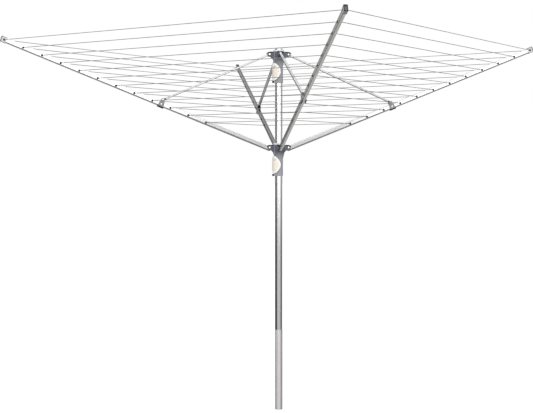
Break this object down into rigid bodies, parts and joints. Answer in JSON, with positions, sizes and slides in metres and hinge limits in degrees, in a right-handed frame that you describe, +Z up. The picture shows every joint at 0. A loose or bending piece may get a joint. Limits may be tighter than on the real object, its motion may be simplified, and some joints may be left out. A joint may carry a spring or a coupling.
{
  "type": "rotary clothesline",
  "caption": "Folding rotary clothesline: a mast turns in a pole, hinged arms carry square runs of line, struts hold them open, and latching hubs slide on the mast.",
  "frame": {"origin": "centre of the flat bottom end of the lower pole", "axes": "+Z up along the mast, +X and +Y along two of the four arms"},
  "size_m": [2.8166, 2.8166, 1.9246],
  "materials": {
    "aluminium": "bright drawn aluminium, fine lengthwise grain",
    "pole_metal": "duller drawn aluminium",
    "pin_steel": "plated pins and rivets",
    "hub_plastic": "dark blue-grey moulded plastic",
    "bracket_plastic": "blue-grey moulded plastic",
    "cap_plastic": "grey moulded plastic, darker end face",
    "lever_plastic": "cream moulded plastic",
    "pale_plastic": "pale grey moulded plastic",
    "line_cord": "grey plastic-covered line"
  },
  "bodies": {
    "lower_pole": {"lower_pole": "pole_metal"},
    "mast": {"mast": "aluminium", "rack": "pale_plastic", "mast_cap": "pale_plastic"},
    "upper_hub": {"upper_hub_body": "hub_plastic", "upper_hub_rim": "pale_plastic", "upper_lever_pin": "pin_steel", "strut_1_hub_pin": "pin_steel", "strut_2_hub_pin": "pin_steel", "strut_3_hub_pin": "pin_steel", "strut_4_hub_pin": "pin_steel"},
    "upper_lever": {"upper_lever": "lever_plastic"},
    "lower_hub": {"lower_hub_body": "hub_plastic", "lower_hub_rim": "pale_plastic", "lower_lever_pin": "pin_steel", "arm_1_hub_pin": "pin_steel", "arm_2_hub_pin": "pin_steel", "arm_3_hub_pin": "pin_steel", "arm_4_hub_pin": "pin_steel", "line_run_01": "line_cord", "line_run_02": "line_cord", "line_run_03": "line_cord", "line_run_04": "line_cord", "line_run_05": "line_cord", "line_run_06": "line_cord", "line_run_07": "line_cord", "line_run_08": "line_cord", "line_run_09": "line_cord", "line_run_10": "line_cord", "line_run_11": "line_cord", "line_run_12": "line_cord"},
    "lower_lever": {"lower_lever": "lever_plastic"},
    "strut_1": {"strut_1": "aluminium"},
    "arm_1": {"arm_1_tube": "aluminium", "arm_1_tip_cap": "cap_plastic", "arm_1_bracket": "bracket_plastic", "arm_1_rivet": "pin_steel", "arm_1_bracket_pin": "pin_steel"},
    "strut_2": {"strut_2": "aluminium"},
    "arm_2": {"arm_2_tube": "aluminium", "arm_2_tip_cap": "cap_plastic", "arm_2_bracket": "bracket_plastic", "arm_2_rivet": "pin_steel", "arm_2_bracket_pin": "pin_steel"},
    "strut_3": {"strut_3": "aluminium"},
    "arm_3": {"arm_3_tube": "aluminium", "arm_3_tip_cap": "cap_plastic", "arm_3_bracket": "bracket_plastic", "arm_3_rivet": "pin_steel", "arm_3_bracket_pin": "pin_steel"},
    "strut_4": {"strut_4": "aluminium"},
    "arm_4": {"arm_4_tube": "aluminium", "arm_4_tip_cap": "cap_plastic", "arm_4_bracket": "bracket_plastic", "arm_4_rivet": "pin_steel", "arm_4_bracket_pin": "pin_steel"}
  },
  "joints": [
    {"name": "mast_spin", "type": "hinge", "parent": "lower_pole", "child": "mast", "pos_m": [0, 0, 0.422], "axis": [0, 0, 1], "continuous": true},
    {"name": "upper_hub_slide", "type": "slide", "parent": "mast", "child": "upper_hub", "axis": [0, 0, 1], "range_m": [-0.0336, 0]},
    {"name": "upper_lever_hinge", "type": "hinge", "parent": "upper_hub", "child": "upper_lever", "pos_m": [-0.02112, -0.0132, 1.8], "axis": [-0.5299, 0.848, 0], "range_deg": [0, 10], "stiffness_Nm_per_rad": 0.5},
    {"name": "strut_1_fold", "type": "hinge", "parent": "upper_hub", "child": "strut_1", "pos_m": [-0.05, 0, 1.856], "axis": [0, -1, 0], "range_deg": [0, 64], "deforming": ["line_run_01", "line_run_02", "line_run_03", "line_run_04", "line_run_05", "line_run_06", "line_run_07", "line_run_08", "line_run_09", "line_run_10", "line_run_11", "line_run_12"]},
    {"name": "arm_1_bracket_hinge", "type": "hinge", "parent": "strut_1", "child": "arm_1", "pos_m": [-0.602, 0, 1.615], "axis": [0, -1, 0], "range_deg": [-128, 0]},
    {"name": "arm_1_hub_hinge", "type": "hinge", "parent": "arm_1", "child": "lower_hub", "pos_m": [-0.05, 0, 1.374], "axis": [0, -1, 0], "range_deg": [0, 64]},
    {"name": "lower_lever_hinge", "type": "hinge", "parent": "lower_hub", "child": "lower_lever", "pos_m": [-0.02112, -0.0132, 1.318], "axis": [-0.5299, 0.848, 0], "range_deg": [0, 10], "stiffness_Nm_per_rad": 0.5},
    {"name": "strut_2_fold", "type": "hinge", "parent": "upper_hub", "child": "strut_2", "pos_m": [0, -0.05, 1.856], "axis": [1, 0, 0], "range_deg": [0, 64]},
    {"name": "arm_2_hub_hinge", "type": "hinge", "parent": "lower_hub", "child": "arm_2", "pos_m": [0, -0.05, 1.374], "axis": [1, 0, 0], "range_deg": [-64, 0]},
    {"name": "strut_3_fold", "type": "hinge", "parent": "upper_hub", "child": "strut_3", "pos_m": [0.05, 0, 1.856], "axis": [0, 1, 0], "range_deg": [0, 64]},
    {"name": "arm_3_hub_hinge", "type": "hinge", "parent": "lower_hub", "child": "arm_3", "pos_m": [0.05, 0, 1.374], "axis": [0, 1, 0], "range_deg": [-64, 0]},
    {"name": "strut_4_fold", "type": "hinge", "parent": "upper_hub", "child": "strut_4", "pos_m": [0, 0.05, 1.856], "axis": [-1, 0, 0], "range_deg": [0, 64]},
    {"name": "arm_4_hub_hinge", "type": "hinge", "parent": "lower_hub", "child": "arm_4", "pos_m": [0, 0.05, 1.374], "axis": [-1, 0, 0], "range_deg": [-64, 0]}
  ],
  "couplings": [
    {"joint": "arm_1_bracket_hinge", "follows": "strut_1_fold", "ratio": -2},
    {"joint": "arm_1_hub_hinge", "follows": "strut_1_fold", "ratio": 1},
    {"joint": "strut_2_fold", "follows": "strut_1_fold", "ratio": 1},
    {"joint": "arm_2_hub_hinge", "follows": "strut_1_fold", "ratio": -1},
    {"joint": "strut_3_fold", "follows": "strut_1_fold", "ratio": 1},
    {"joint": "arm_3_hub_hinge", "follows": "strut_1_fold", "ratio": -1},
    {"joint": "strut_4_fold", "follows": "strut_1_fold", "ratio": 1},
    {"joint": "arm_4_hub_hinge", "follows": "strut_1_fold", "ratio": -1}
  ]
}
